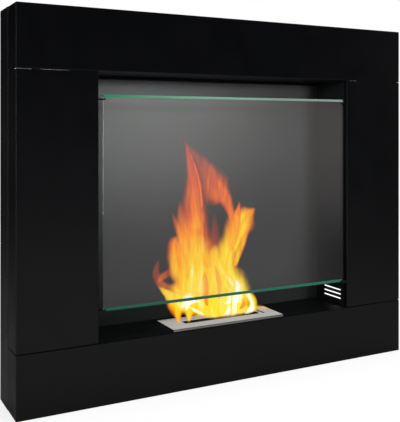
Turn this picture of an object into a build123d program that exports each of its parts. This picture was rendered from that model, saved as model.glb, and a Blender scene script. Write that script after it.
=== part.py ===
from build123d import *
import os

# Wall-hung bioethanol fireplace: a frame of four folded steel panels round an open
# firebox, a clear glass pane standing in the opening and a stainless burner in the floor.
# Millimetres. X runs along the front, +Y points to the wall behind, +Z up.
# The origin is under the middle of the frame, on the surface that it can stand on.

# Overall frame
width = 1020.0
height = 850.0
depth = 145.0
column_width = 176.0
bar_height = 134.5

# Folded sheet steel
sheet = 1.5
fold_radius = 2.0
bend_limit = 1.6
joint_gap = 0.6
seat = 0.2
cut_margin = 1.0

# Front panels and rear casing
front_return = 70.0
opening_return = 8.0
panel_lip = 14.0
seam_gap = 0.5
casing_flange = 25.0
corner_bracket_leg = 40.0
corner_bracket_sheet = 2.0
column_screw_inset = 58.0
edge_screw_spacing = 340.0

# Firebox
firebox_depth = 127.0
shadow_gap = 4.0
wall_flange = 18.0
skirt = 15.0
skirt_clearance = 1.0
top_air_gap = 8.0
floor_joint = 0.3
skirt_screw_front = 38.0
skirt_screw_rear = 19.0

# Vent slots, low in both side walls
vent_count = 3
vent_length = 69.0
vent_height = 4.0
vent_pitch = 11.0
vent_front = 26.0
vent_first = 17.5
vent_end_share = 0.45

# Heat shield and the rails behind it
shield_sheet = 1.0
shield_spacer = 5.0
shield_side = 11.0
shield_overlap = 20.0
shield_screw_spacing = 250.0
stud_side_inset = 33.4
stud_end_inset = 45.0
stud_protrusion = 1.0
rail_sheet = 1.5
rail_height = 68.0
rail_edge = 6.0
rail_foot = 26.0
rail_end_gap = 1.0
keyhole_spacing = 600.0
keyhole_entry = 6.0
keyhole_neck = 3.2
keyhole_rise = 14.0
keyhole_drop = 22.0

# Glass pane and what carries it
pane_thickness = 6.0
pane_setback = 3.0
pane_side_gap = 10.5
pane_above_floor = 66.5
pane_below_ceiling = 49.5
pane_edge_chamfer = 0.6
pane_play = 0.1
pane_rest_gap = 0.3
liner = 1.0
lug_grip = 6.0
lug_prong = 1.4
lug_plate = 3.0
lug_below_top = 10.0
lug_foot_height = 24.0
lug_foot_sheet = 2.4
lug_clearance = 0.3
lug_screw_inset = 6.6
cup_floor = 2.0
cup_lip = 4.0

# Burner: top plate, fuel box, damper
burner_offset = -8.0
plate_length = 296.0
plate_depth = 90.0
plate_setback = 3.0
plate_rise = 5.5
plate_radius = 0.9
burner_sheet = 1.2
plate_overhang_front = 13.0
plate_overhang_rear = 7.0
plate_overhang_side = 12.0
plate_rest_gap = 0.3
box_height = 50.0
box_corner = 2.4
slot_end_inset = 47.0
slot_width = 20.0
slot_from_plate_front = 35.0
slot_corner = 3.0
well_gap = 2.0
well_flange = 12.0
well_screw_inset = 18.5
well_clearance = 6.0
damper_cover = 2.5
damper_gap = 1.5
damper_play = 0.3
damper_left = 12.0
damper_right = 26.0
guide_grip = 5.0
guide_play = 0.2
guide_front = 3.0
hook_tab_from_slot = 12.0
hook_tab_width = 8.0
hook_tab_height = 9.0
hook_tab_inset = 3.0
hook_hole = 1.6
hook_hole_above_plate = 3.0
hook_slot_clearance = 2.0
wool_height = 28.0
wool_clearance = 0.6
wool_corner = 3.6
grid_sheet = 1.0
grid_rows = 3
grid_pitch = 16.0
grid_hole = 4.5

# Fasteners
screw_radius = 2.0
screw_clearance = 0.15
screw_head_radius = 3.8
screw_head_height = 2.2
screw_reach = 3.0
stud_radius = 2.5
nut_flats = 8.0
nut_height = 4.0
spacer_radius = 6.0
clip_sheet = 1.0
clip_width = 20.0
clip_depth = 5.0
clip_play = 0.1
clip_places = (53.0, 132.0)

# Planes and bends that several pieces share
fold = min(fold_radius, bend_limit * sheet)
half = width / 2
opening_half = half - column_width
floor_z = bar_height
ceiling_z = height - bar_height
middle_z = height / 2
y_front = -depth / 2
y_rear = depth / 2
y_seam = y_front + front_return
casing_front = y_seam + seam_gap
wall_front = y_front + opening_return + shadow_gap
back_face = y_front + firebox_depth
shield_front = back_face + sheet + shield_spacer
shield_rear = shield_front + shield_sheet
rail_rear = y_rear - sheet - seat
upper_rail_top = height - sheet - rail_edge
upper_rail_step = upper_rail_top - rail_height
shield_top = upper_rail_step - rail_foot + shield_overlap
shield_bottom = height - shield_top
lip_middle = sheet + (panel_lip - sheet) / 2


def block(x0, x1, y0, y1, z0, z1):
    """A box between two opposite corners."""
    middle = ((x0 + x1) / 2, (y0 + y1) / 2, (z0 + z1) / 2)
    return Pos(*middle) * Box(x1 - x0, y1 - y0, z1 - z0)


def rod(centre, direction, radius, length):
    """A round bar that starts at a point and runs along a direction."""
    base = Plane(origin=centre, z_dir=direction)
    return extrude(base * Circle(radius), length)


def left_right(shape):
    """A shape and its mirror image on the other side of the middle."""
    return [shape, mirror(shape, Plane.YZ)]


def upside_down(shape):
    """A shape turned over about the middle height of the frame."""
    return mirror(shape, Plane.XY.offset(middle_z))


def join(solids):
    """Separate solids as one group."""
    return Compound(children=list(solids))


def screw(seat_point, direction, reach):
    """A pan-head screw: its head stands on seat_point, its shank runs along direction."""
    shank = rod(seat_point, direction, screw_radius, reach)
    back = tuple(-v for v in direction)
    head = rod(seat_point, back, screw_head_radius, screw_head_height)
    return head + shank


def screw_hole(point, direction, length):
    """The clearance hole that a screw passes through, cut both ways from a point."""
    back = tuple(-v for v in direction)
    radius = screw_radius + screw_clearance
    return rod(point, direction, radius, length) + rod(point, back, radius, length)


# ---------------------------------------------------------------- front panels


def folded_panel(x0, x1, z0, z1, returns, lips):
    """A front panel: a flat face with a return folded back on each of its four sides.

    returns gives each side's depth, and lips names the sides whose return ends in a lip.
    """
    deepest = max(returns.values())
    end = y_front + deepest
    envelope = block(x0, x1, y_front, end, z0, z1)
    envelope = fillet(envelope.edges(), fold)
    cavity_end = end + cut_margin
    tray = envelope - block(
        x0 + sheet, x1 - sheet, y_front + sheet, cavity_end, z0 + sheet, z1 - sheet
    )
    deep = {side: returns[side] == deepest for side in returns}
    low_x = x0 + sheet if deep["left"] else x0 - cut_margin
    high_x = x1 - sheet if deep["right"] else x1 + cut_margin
    low_z = z0 + sheet if deep["bottom"] else z0 - cut_margin
    high_z = z1 - sheet if deep["top"] else z1 + cut_margin
    strips = {
        "left": (x0 - cut_margin, x0 + sheet, low_z, high_z),
        "right": (x1 - sheet, x1 + cut_margin, low_z, high_z),
        "bottom": (low_x, high_x, z0 - cut_margin, z0 + sheet),
        "top": (low_x, high_x, z1 - sheet, z1 + cut_margin),
    }
    for side, (a0, a1, c0, c1) in strips.items():
        if not deep[side]:
            tray -= block(a0, a1, y_front + returns[side], end + cut_margin, c0, c1)
    lip_strips = {
        "left": (x0 + sheet, x0 + panel_lip, z0 + sheet, z1 - sheet),
        "right": (x1 - panel_lip, x1 - sheet, z0 + sheet, z1 - sheet),
        "bottom": (x0 + sheet, x1 - sheet, z0 + sheet, z0 + panel_lip),
        "top": (x0 + sheet, x1 - sheet, z1 - panel_lip, z1 - sheet),
    }
    for side in lips:
        a0, a1, c0, c1 = lip_strips[side]
        tray += block(a0, a1, end - sheet, end, c0, c1) & envelope
    return tray


side_screw_heights = [
    bar_height / 2,
    floor_z + column_screw_inset,
    middle_z,
    ceiling_z - column_screw_inset,
    height - bar_height / 2,
]
edge_screw_places = [-edge_screw_spacing, 0.0, edge_screw_spacing]
panel_screw_points = []
for z in side_screw_heights:
    for x in (-half + lip_middle, half - lip_middle):
        panel_screw_points.append((x, casing_front + sheet, z))
for x in edge_screw_places:
    for z in (lip_middle, height - lip_middle):
        panel_screw_points.append((x, casing_front + sheet, z))


def drill_panel_screws(shape):
    """Holes for the screws that hold the front panels to the rear casing."""
    low, high = shape.bounding_box().min, shape.bounding_box().max
    for x, y, z in panel_screw_points:
        if low.X < x < high.X and low.Z < z < high.Z:
            shape -= screw_hole((x, y, z), (0, 1, 0), panel_lip)
    return shape


def front_panels():
    """Top bar, bottom bar and the two columns between them, flush at the front."""
    bar_returns = {
        "left": front_return,
        "right": front_return,
        "top": front_return,
        "bottom": opening_return,
    }
    top_bar = folded_panel(
        -half, half, ceiling_z, height, bar_returns, ["left", "right", "top"]
    )
    column_returns = {
        "left": front_return,
        "right": opening_return,
        "top": opening_return,
        "bottom": opening_return,
    }
    left_column = folded_panel(
        -half,
        -opening_half,
        floor_z + joint_gap,
        ceiling_z - joint_gap,
        column_returns,
        ["left"],
    )
    return {
        "top_bar": drill_panel_screws(top_bar),
        "bottom_bar": drill_panel_screws(upside_down(top_bar)),
        "left_column": drill_panel_screws(left_column),
        "right_column": drill_panel_screws(mirror(left_column, Plane.YZ)),
    }


def panel_joint_clips():
    """Spring clips that grip a column's end return and the bar's return beside it."""
    grip_low = ceiling_z - joint_gap - sheet - clip_play
    grip_high = ceiling_z + sheet + clip_play
    clip_front = y_front + opening_return - clip_depth
    clip_rear = y_front + opening_return + clip_play
    clips = []
    for place in clip_places:
        x = opening_half + place
        body = block(
            x - clip_width / 2,
            x + clip_width / 2,
            clip_front,
            clip_rear + clip_sheet,
            grip_low - clip_sheet,
            grip_high + clip_sheet,
        )
        throat = block(
            x - clip_width,
            x + clip_width,
            clip_front - cut_margin,
            clip_rear,
            grip_low,
            grip_high,
        )
        clip = body - throat
        for copy in (clip, upside_down(clip)):
            clips += left_right(copy)
    return join(clips)


# ---------------------------------------------------------------- rear casing


def casing_strips():
    """Four folded strips that make the rear half of the frame's edge."""
    flange_front = y_rear - sheet
    side_low = sheet + seat
    side_high = height - sheet - seat
    side = block(half - sheet, half, casing_front, y_rear, 0, height)
    side += block(half - casing_flange, half, flange_front, y_rear, side_low, side_high)
    side += block(half - panel_lip, half, casing_front, casing_front + sheet, side_low, side_high)
    side_bends = side.edges().filter_by(Axis.Z).group_by(Axis.X)[-1]
    side = fillet(side_bends, fold)
    web_half = half - sheet - seat
    flange_half = half - casing_flange - seat
    lip_half = half - panel_lip - seat
    low_flange = height - casing_flange
    low_lip = height - panel_lip
    top = block(-web_half, web_half, casing_front, y_rear, height - sheet, height)
    top += block(-flange_half, flange_half, flange_front, y_rear, low_flange, height)
    top += block(-lip_half, lip_half, casing_front, casing_front + sheet, low_lip, height)
    top_bends = top.edges().filter_by(Axis.X).group_by(Axis.Z)[-1]
    top = fillet(top_bends, fold)
    for x, z in rail_screw_points:
        side -= screw_hole((abs(x), y_rear, z), (0, 1, 0), sheet + cut_margin)
    side = drill_panel_screws(side)
    top = drill_panel_screws(top)
    return {
        "casing_top": top,
        "casing_bottom": upside_down(top),
        "casing_left_side": mirror(side, Plane.YZ),
        "casing_right_side": side,
    }


def casing_corner_brackets():
    """Angle brackets welded inside the four corners of the rear casing."""
    x = half - sheet - seat
    z = height - sheet - seat
    y = (casing_front + rail_rear) / 2
    y0 = y - corner_bracket_leg / 2
    y1 = y + corner_bracket_leg / 2
    bracket = block(x - corner_bracket_leg, x, y0, y1, z - corner_bracket_sheet, z)
    bracket += block(x - corner_bracket_sheet, x, y0, y1, z - corner_bracket_leg, z)
    return join(left_right(bracket) + left_right(upside_down(bracket)))


def panel_screws():
    """Screws from behind the casing's lip into the lips of the front panels."""
    reach = 2 * sheet + seam_gap + screw_reach
    return join(screw(point, (0, -1, 0), reach) for point in panel_screw_points)


# ---------------------------------------------------------------- rails and heat shield

rail_screw_x = half - (sheet + casing_flange) / 2
rail_screw_points = []
for z in (upper_rail_top - rail_height / 4, upper_rail_top - rail_height * 3 / 4):
    for x in (-rail_screw_x, rail_screw_x):
        rail_screw_points.append((x, z))
        rail_screw_points.append((x, height - z))

keyhole_z = upper_rail_top - rail_height / 2 - keyhole_drop / 2
shield_screw_places = [-shield_screw_spacing, 0.0, shield_screw_spacing]
shield_screw_top = upper_rail_step - rail_foot + shield_overlap / 2


def rear_rail():
    """The upper rail: a stepped strip across the back that the heat shield hangs on."""
    end = half - sheet - rail_end_gap
    web_front = rail_rear - rail_sheet
    foot_rear = shield_rear + seat + rail_sheet
    rail = block(-end, end, web_front, rail_rear, upper_rail_step, upper_rail_top)
    foot_front = foot_rear - rail_sheet
    step_top = upper_rail_step + rail_sheet
    rail += block(-end, end, foot_front, rail_rear, upper_rail_step, step_top)
    rail += block(-end, end, foot_front, foot_rear, upper_rail_step - rail_foot, step_top)
    for x, z in rail_screw_points:
        if z > middle_z:
            rail -= screw_hole((x, rail_rear, z), (0, 1, 0), rail_sheet + cut_margin)
    for x in shield_screw_places:
        rail -= screw_hole((x, foot_rear, shield_screw_top), (0, 1, 0), rail_sheet + cut_margin)
    return rail


def rails():
    """The upper rail has two keyholes to hang by; the lower one is plain."""
    upper = rear_rail()
    lower = upside_down(upper)
    cut = rail_sheet + cut_margin
    for x in (-keyhole_spacing / 2, keyhole_spacing / 2):
        upper -= rod((x, rail_rear - cut, keyhole_z), (0, 1, 0), keyhole_entry, 2 * cut)
        neck_top = keyhole_z + keyhole_rise
        upper -= rod((x, rail_rear - cut, neck_top), (0, 1, 0), keyhole_neck, 2 * cut)
        upper -= block(
            x - keyhole_neck,
            x + keyhole_neck,
            rail_rear - cut,
            rail_rear + cut,
            keyhole_z,
            neck_top,
        )
    return {"upper_hanging_rail": upper, "lower_rear_rail": lower}


def rail_screws():
    """Screws through both rails' ends into the casing's rear flanges, flush at the back."""
    reach = rail_sheet + seat + sheet
    points = [(x, rail_rear - rail_sheet, z) for x, z in rail_screw_points]
    return join(screw(point, (0, 1, 0), reach) for point in points)


stud_places = [
    (x, z)
    for x in (stud_side_inset - opening_half, opening_half - stud_side_inset)
    for z in (floor_z + stud_end_inset, middle_z, ceiling_z - stud_end_inset)
]


def heat_shield():
    """A plain sheet behind the firebox that keeps its heat off the wall."""
    edge = opening_half + shield_side
    shield = block(-edge, edge, shield_front, shield_rear, shield_bottom, shield_top)
    for x, z in stud_places:
        shield -= rod((x, shield_front - cut_margin, z), (0, 1, 0), stud_radius + seat, 3 * cut_margin)
    for x in shield_screw_places:
        for z in (shield_screw_top, height - shield_screw_top):
            shield -= screw_hole((x, shield_front, z), (0, 1, 0), shield_sheet + cut_margin)
    return shield


def shield_screws():
    """Screws through the heat shield into the feet of both rails."""
    reach = shield_sheet + seat + rail_sheet + screw_reach
    points = [
        (x, shield_front, z)
        for x in shield_screw_places
        for z in (shield_screw_top, height - shield_screw_top)
    ]
    return join(screw(point, (0, 1, 0), reach) for point in points)


def shield_studs():
    """Studs welded to the firebox back, which the shield hangs on."""
    length = shield_spacer + shield_sheet + nut_height + stud_protrusion
    start = back_face + sheet
    return join(rod((x, start, z), (0, 1, 0), stud_radius, length) for x, z in stud_places)


def shield_spacers():
    """Tubes on the studs that hold the shield off the firebox back."""
    tubes = []
    for x, z in stud_places:
        start = (x, back_face + sheet, z)
        tube = rod(start, (0, 1, 0), spacer_radius, shield_spacer)
        tubes.append(tube - rod(start, (0, 1, 0), stud_radius + seat, shield_spacer))
    return join(tubes)


def shield_nuts():
    """Hexagon nuts on the ends of the studs, behind the shield."""
    nuts = []
    for x, z in stud_places:
        base = Plane(origin=(x, shield_rear, z), z_dir=(0, 1, 0))
        nut = extrude(base * RegularPolygon(nut_flats / 2, 6, major_radius=False), nut_height)
        bore_start = (x, shield_rear - cut_margin, z)
        bore = rod(bore_start, (0, 1, 0), stud_radius + seat / 2, nut_height + 2 * cut_margin)
        nuts.append(nut - bore)
    return join(nuts)


# ---------------------------------------------------------------- firebox

wall_screw_x = opening_half + (sheet + wall_flange) / 2
wall_screw_heights = [floor_z + stud_end_inset, middle_z, ceiling_z - stud_end_inset]
skirt_screw_z = floor_z - (sheet + skirt) / 2
skirt_screw_depths = [skirt_screw_front, firebox_depth - skirt_screw_rear]


def firebox_walls():
    """Side walls with outward flanges, a low row of vent slots and skirts at both ends."""
    outer = opening_half + wall_flange
    low = floor_z - skirt
    high = ceiling_z + skirt
    rear = back_face - seat
    wall = block(opening_half, opening_half + sheet, wall_front, rear, low, high)
    wall += block(opening_half, outer, wall_front, wall_front + sheet, low, high)
    wall += block(opening_half, outer, rear - sheet, rear, low, high)
    for i in range(vent_count):
        z = floor_z + vent_first + i * vent_pitch
        slot = block(
            opening_half - cut_margin,
            opening_half + sheet + cut_margin,
            y_front + vent_front,
            y_front + vent_front + vent_length,
            z - vent_height / 2,
            z + vent_height / 2,
        )
        wall -= fillet(slot.edges().filter_by(Axis.X), vent_end_share * vent_height)
    for z in wall_screw_heights:
        wall -= screw_hole((wall_screw_x, rear, z), (0, 1, 0), sheet + cut_margin)
    for y in skirt_screw_depths:
        for z in (skirt_screw_z, height - skirt_screw_z):
            wall -= screw_hole((opening_half, y_front + y, z), (1, 0, 0), sheet + cut_margin)
    for z in lug_heights:
        wall -= screw_hole((lug_screw_x, wall_front, z), (0, 1, 0), sheet + cut_margin)
    return {"firebox_left_wall": mirror(wall, Plane.YZ), "firebox_right_wall": wall}


def firebox_back():
    """The back panel. It stops short of the ceiling to leave a slot for hot air."""
    edge = opening_half + wall_flange
    top = ceiling_z - top_air_gap
    back = block(-edge, edge, back_face, back_face + sheet, floor_z - skirt, top)
    for z in wall_screw_heights:
        for x in (-wall_screw_x, wall_screw_x):
            back -= screw_hole((x, back_face, z), (0, 1, 0), sheet + cut_margin)
    return back


def floor_sheet():
    """A flat sheet with a skirt folded down on all four sides."""
    edge = opening_half - seat
    front = y_front + opening_return + floor_joint
    rear = back_face - seat
    low = floor_z - skirt + skirt_clearance
    panel = block(-edge, edge, front, rear, low, floor_z)
    panel -= block(
        -edge + sheet,
        edge - sheet,
        front + sheet,
        rear - sheet,
        low - cut_margin,
        floor_z - sheet,
    )
    for y in skirt_screw_depths:
        for x in (-edge, edge):
            panel -= screw_hole((x, y_front + y, skirt_screw_z), (1, 0, 0), sheet + cut_margin)
    return panel


plate_front = y_front + plate_setback
plate_rear = plate_front + plate_depth
box_half = plate_length / 2 - plate_overhang_side
box_front = plate_front + plate_overhang_front
box_rear = plate_rear - plate_overhang_rear
plate_top = floor_z + plate_rise
plate_under = plate_top - burner_sheet
box_bottom = plate_under - box_height
well_half = box_half + well_gap
well_front = box_front - well_gap
well_rear = box_rear + well_gap
well_top = floor_z - sheet - seat
well_screw_x = well_half + sheet + well_flange / 2
well_screw_depths = [well_front + well_screw_inset, well_rear - well_screw_inset]


def firebox_floor():
    """The floor sheet with the opening that the burner drops into."""
    panel = floor_sheet()
    panel -= block(
        burner_offset - well_half,
        burner_offset + well_half,
        well_front,
        well_rear,
        floor_z - 2 * sheet,
        floor_z + cut_margin,
    )
    for x in (burner_offset - well_screw_x, burner_offset + well_screw_x):
        for y in well_screw_depths:
            panel -= screw_hole((x, y, floor_z), (0, 0, 1), sheet + cut_margin)
    return panel


def burner_well():
    """A folded trough under the floor that holds the burner and catches spilt fuel."""
    x0 = burner_offset - well_half
    x1 = burner_offset + well_half
    bottom = box_bottom - well_clearance
    well = block(
        x0 - sheet, x1 + sheet, well_front - sheet, well_rear + sheet, bottom - sheet, well_top
    )
    well += block(
        x0 - sheet - well_flange,
        x1 + sheet + well_flange,
        well_front - sheet,
        well_rear + sheet,
        well_top - sheet,
        well_top,
    )
    well += block(
        x0 - sheet,
        x1 + sheet,
        well_front - sheet,
        well_rear + sheet + well_flange,
        well_top - sheet,
        well_top,
    )
    well -= block(x0, x1, well_front, well_rear, bottom, well_top + cut_margin)
    for x in (burner_offset - well_screw_x, burner_offset + well_screw_x):
        for y in well_screw_depths:
            well -= screw_hole((x, y, well_top), (0, 0, 1), sheet + cut_margin)
    return well


def burner_well_screws():
    """Screws up through the well's side flanges, ending inside the floor sheet."""
    reach = 2 * sheet
    seated_z = well_top - sheet
    points = [
        (x, y, seated_z)
        for x in (burner_offset - well_screw_x, burner_offset + well_screw_x)
        for y in well_screw_depths
    ]
    return join(screw(point, (0, 0, 1), reach) for point in points)


def firebox_screws():
    """Screws that hold the side walls to the back, and floor and ceiling to the walls."""
    screws = []
    flange_front = back_face - seat - sheet
    reach = 2 * sheet + seat + screw_reach
    for z in wall_screw_heights:
        screws += left_right(screw((wall_screw_x, flange_front, z), (0, 1, 0), reach))
    outer = opening_half + sheet
    for y in skirt_screw_depths:
        for z in (skirt_screw_z, height - skirt_screw_z):
            screws += left_right(screw((outer, y_front + y, z), (-1, 0, 0), reach))
    return join(screws)


# ---------------------------------------------------------------- glass pane

pane_half = opening_half - pane_side_gap
pane_front = y_front + pane_setback
pane_rear = pane_front + pane_thickness
pane_bottom = floor_z + pane_above_floor
pane_top = ceiling_z - pane_below_ceiling
notch_front = pane_front - pane_play
notch_rear = pane_rear + pane_play
notch_end = pane_half + pane_play
upper_lug_z = pane_top - lug_below_top
cup_bottom = pane_bottom - pane_rest_gap - liner - cup_floor
lower_lug_z = (cup_bottom + pane_bottom + cup_lip) / 2
lug_heights = [lower_lug_z, upper_lug_z]
neck_front = y_front + opening_return + lug_clearance
neck_rear = wall_front - lug_clearance
neck_end = opening_half + sheet + lug_clearance + lug_plate
lug_screw_x = opening_half + wall_flange - lug_screw_inset


def glass_pane():
    """Clear toughened glass with ground and polished edges."""
    pane = block(-pane_half, pane_half, pane_front, pane_rear, pane_bottom, pane_top)
    return chamfer(pane.edges(), pane_edge_chamfer)


def lug_foot(z):
    """The part of a lug behind the column: a neck through the shadow gap and a foot."""
    outer = opening_half + wall_flange
    foot = block(
        opening_half + sheet + lug_clearance,
        outer,
        neck_rear - lug_foot_sheet,
        neck_rear,
        z - lug_foot_height / 2,
        z + lug_foot_height / 2,
    )
    foot -= screw_hole((lug_screw_x, neck_rear, z), (0, 1, 0), lug_foot_sheet + cut_margin)
    return foot


def upper_pane_lug():
    """A flat steel lug, notched for the pane's edge and its silicone liner."""
    z0 = upper_lug_z - lug_plate / 2
    z1 = upper_lug_z + lug_plate / 2
    inner = pane_half - lug_grip
    lug = block(inner, opening_half - lug_clearance, notch_front - liner - lug_prong, neck_rear, z0, z1)
    lug -= block(
        inner - cut_margin,
        notch_end + liner,
        notch_front - liner,
        notch_rear + liner,
        z0 - cut_margin,
        z1 + cut_margin,
    )
    lug += block(notch_end + liner, neck_end, neck_front, neck_rear, z0, z1)
    return lug + lug_foot(upper_lug_z)


def lower_pane_cup():
    """A small steel cup that the pane's lower corner stands in."""
    z0 = cup_bottom
    z1 = pane_bottom + cup_lip
    inner = pane_half - lug_grip
    cup = block(inner, opening_half - lug_clearance, notch_front - liner - lug_prong, neck_rear, z0, z1)
    cup -= block(
        inner - cut_margin,
        notch_end + liner,
        notch_front - liner,
        notch_rear + liner,
        z0 + cup_floor,
        z1 + cut_margin,
    )
    cup += block(notch_end + liner, neck_end, neck_front, neck_rear, z0, z1)
    return cup + lug_foot(lower_lug_z)


def pane_liner(z0, z1, floor):
    """A silicone lining for a notch: both faces and the edge, and a floor if asked."""
    inner = pane_half - lug_grip
    base = z0 - liner if floor else z0
    lining = block(inner, notch_end + liner, notch_front - liner, notch_rear + liner, base, z1)
    bottom = z0 if floor else z0 - cut_margin
    lining -= block(inner - cut_margin, notch_end, notch_front, notch_rear, bottom, z1 + cut_margin)
    return lining


def pane_fittings():
    """The four lugs that carry the pane, with their liners and screws."""
    upper = upper_pane_lug()
    lower = lower_pane_cup()
    upper_liner = pane_liner(upper_lug_z - lug_plate / 2, upper_lug_z + lug_plate / 2, False)
    lower_liner = pane_liner(pane_bottom - pane_rest_gap, pane_bottom + cup_lip, True)
    reach = lug_foot_sheet + lug_clearance + sheet + screw_reach
    screws = []
    for z in lug_heights:
        seated = (lug_screw_x, neck_rear - lug_foot_sheet, z)
        screws += left_right(screw(seated, (0, 1, 0), reach))
    return {
        "upper_right_pane_lug": upper,
        "upper_left_pane_lug": mirror(upper, Plane.YZ),
        "lower_right_pane_cup": lower,
        "lower_left_pane_cup": mirror(lower, Plane.YZ),
        "upper_pane_liners": join(left_right(upper_liner)),
        "lower_pane_liners": join(left_right(lower_liner)),
        "pane_lug_screws": join(screws),
    }


# ---------------------------------------------------------------- burner

slot_front = plate_front + slot_from_plate_front
slot_rear = slot_front + slot_width
slot_half = plate_length / 2 - slot_end_inset
damper_depth = slot_width + 2 * damper_cover
damper_front = slot_rear + damper_gap
damper_rear = damper_front + damper_depth
damper_travel = damper_front - (slot_front - damper_cover)
damper_top = plate_under - damper_play
damper_under = damper_top - burner_sheet
tab_x = burner_offset + slot_half + hook_tab_from_slot
tab_front = damper_front + hook_tab_inset


def burner_top_plate():
    """A pressed stainless plate with its edges turned down to stand on the floor."""
    x0 = burner_offset - plate_length / 2
    x1 = burner_offset + plate_length / 2
    low = floor_z + plate_rest_gap
    plate = block(x0, x1, plate_front, plate_rear, low, plate_top)
    bends = plate.edges().filter_by(Axis.Z) + plate.faces().sort_by(Axis.Z)[-1].edges()
    plate = fillet(bends, min(plate_radius, bend_limit * burner_sheet))
    plate -= block(
        x0 + burner_sheet,
        x1 - burner_sheet,
        plate_front + burner_sheet,
        plate_rear - burner_sheet,
        low - cut_margin,
        plate_under,
    )
    slot = block(
        burner_offset - slot_half,
        burner_offset + slot_half,
        slot_front,
        slot_rear,
        plate_under - cut_margin,
        plate_top + cut_margin,
    )
    plate -= fillet(slot.edges().filter_by(Axis.Z), slot_corner)
    return plate - block(
        tab_x - hook_slot_clearance,
        tab_x + burner_sheet + hook_slot_clearance,
        tab_front - damper_travel - hook_slot_clearance,
        tab_front + hook_tab_width + hook_slot_clearance,
        plate_under - cut_margin,
        plate_top + cut_margin,
    )


def burner_box():
    """The welded stainless fuel box under the plate."""
    x0 = burner_offset - box_half
    x1 = burner_offset + box_half
    box = block(x0, x1, box_front, box_rear, box_bottom, plate_under)
    box = fillet(box.edges().filter_by(Axis.Z), box_corner)
    return box - block(
        x0 + burner_sheet,
        x1 - burner_sheet,
        box_front + burner_sheet,
        box_rear - burner_sheet,
        box_bottom + burner_sheet,
        plate_under + cut_margin,
    )


def damper_guide(x_end, inward):
    """An angle under the plate that one end of the damper slides on."""
    web_near = x_end - inward * damper_play
    web_far = web_near - inward * burner_sheet
    lip_end = x_end + inward * guide_grip
    front = slot_front - damper_cover - guide_front
    rear = box_rear - burner_sheet - damper_play
    lip_top = damper_under - guide_play
    lip_low = lip_top - burner_sheet
    low_x, high_x = sorted((web_near, web_far))
    guide = block(low_x, high_x, front, rear, lip_low, plate_under)
    low_x, high_x = sorted((web_far, lip_end))
    return guide + block(low_x, high_x, front, rear, lip_low, lip_top)


damper_x0 = burner_offset - slot_half - damper_left
damper_x1 = burner_offset + slot_half + damper_right


def damper_plate():
    """The sliding plate that closes the flame slot, shown fully open."""
    return block(damper_x0, damper_x1, damper_front, damper_rear, damper_under, damper_top)


def damper_hook_tab():
    """A small upright tab welded on the damper, with a hole for the hook rod."""
    tab = block(
        tab_x,
        tab_x + burner_sheet,
        tab_front,
        tab_front + hook_tab_width,
        damper_top,
        damper_top + hook_tab_height,
    )
    hole_y = tab_front + hook_tab_width / 2
    hole_z = plate_top + hook_hole_above_plate
    start = (tab_x - cut_margin, hole_y, hole_z)
    return tab - rod(start, (1, 0, 0), hook_hole, burner_sheet + 2 * cut_margin)


inner_half = box_half - burner_sheet - wool_clearance
inner_front = box_front + burner_sheet + wool_clearance
inner_rear = box_rear - burner_sheet - wool_clearance
wool_bottom = box_bottom + burner_sheet + seat
wool_top = wool_bottom + wool_height


def ceramic_wool():
    """The fibre block that soaks up the fuel."""
    wool = block(
        burner_offset - inner_half,
        burner_offset + inner_half,
        inner_front,
        inner_rear,
        wool_bottom,
        wool_top,
    )
    return fillet(wool.edges().filter_by(Axis.Z), wool_corner)


def wool_grid():
    """A perforated sheet that lies on the wool and holds it down."""
    low = wool_top + seat
    grid = block(
        burner_offset - inner_half,
        burner_offset + inner_half,
        inner_front,
        inner_rear,
        low,
        low + grid_sheet,
    )
    middle = (inner_front + inner_rear) / 2
    columns = int((2 * inner_half - grid_pitch) // grid_pitch)
    hole = Cylinder(grid_hole, 2 * grid_sheet)
    holes = []
    for i in range(columns):
        x = burner_offset + (i - (columns - 1) / 2) * grid_pitch
        for j in range(grid_rows):
            y = middle + (j - (grid_rows - 1) / 2) * grid_pitch
            holes.append(Pos(x, y, low + grid_sheet / 2) * hole)
    return grid - holes


# ---------------------------------------------------------------- all pieces

pieces = {}
pieces.update(front_panels())
pieces["panel_joint_clips"] = panel_joint_clips()
pieces.update(casing_strips())
pieces["casing_corner_brackets"] = casing_corner_brackets()
pieces["panel_screws"] = panel_screws()
pieces.update(rails())
pieces["rail_screws"] = rail_screws()
pieces["heat_shield"] = heat_shield()
pieces["shield_screws"] = shield_screws()
pieces["shield_studs"] = shield_studs()
pieces["shield_spacers"] = shield_spacers()
pieces["shield_nuts"] = shield_nuts()
pieces.update(firebox_walls())
pieces["firebox_back"] = firebox_back()
pieces["firebox_floor"] = firebox_floor()
pieces["firebox_ceiling"] = upside_down(floor_sheet())
pieces["firebox_screws"] = firebox_screws()
pieces["burner_well"] = burner_well()
pieces["burner_well_screws"] = burner_well_screws()
pieces["glass_pane"] = glass_pane()
pieces.update(pane_fittings())
pieces["burner_top_plate"] = burner_top_plate()
pieces["burner_box"] = burner_box()
pieces["damper_left_guide"] = damper_guide(damper_x0, 1)
pieces["damper_right_guide"] = damper_guide(damper_x1, -1)
pieces["ceramic_wool"] = ceramic_wool()
pieces["wool_grid"] = wool_grid()
pieces["damper_plate"] = damper_plate()
pieces["damper_hook_tab"] = damper_hook_tab()

os.makedirs("parts", exist_ok=True)
for name, shape in pieces.items():
    export_step(shape, f"parts/{name}.step")
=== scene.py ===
import math

import bmesh
import bpy
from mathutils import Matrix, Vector, noise


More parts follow.
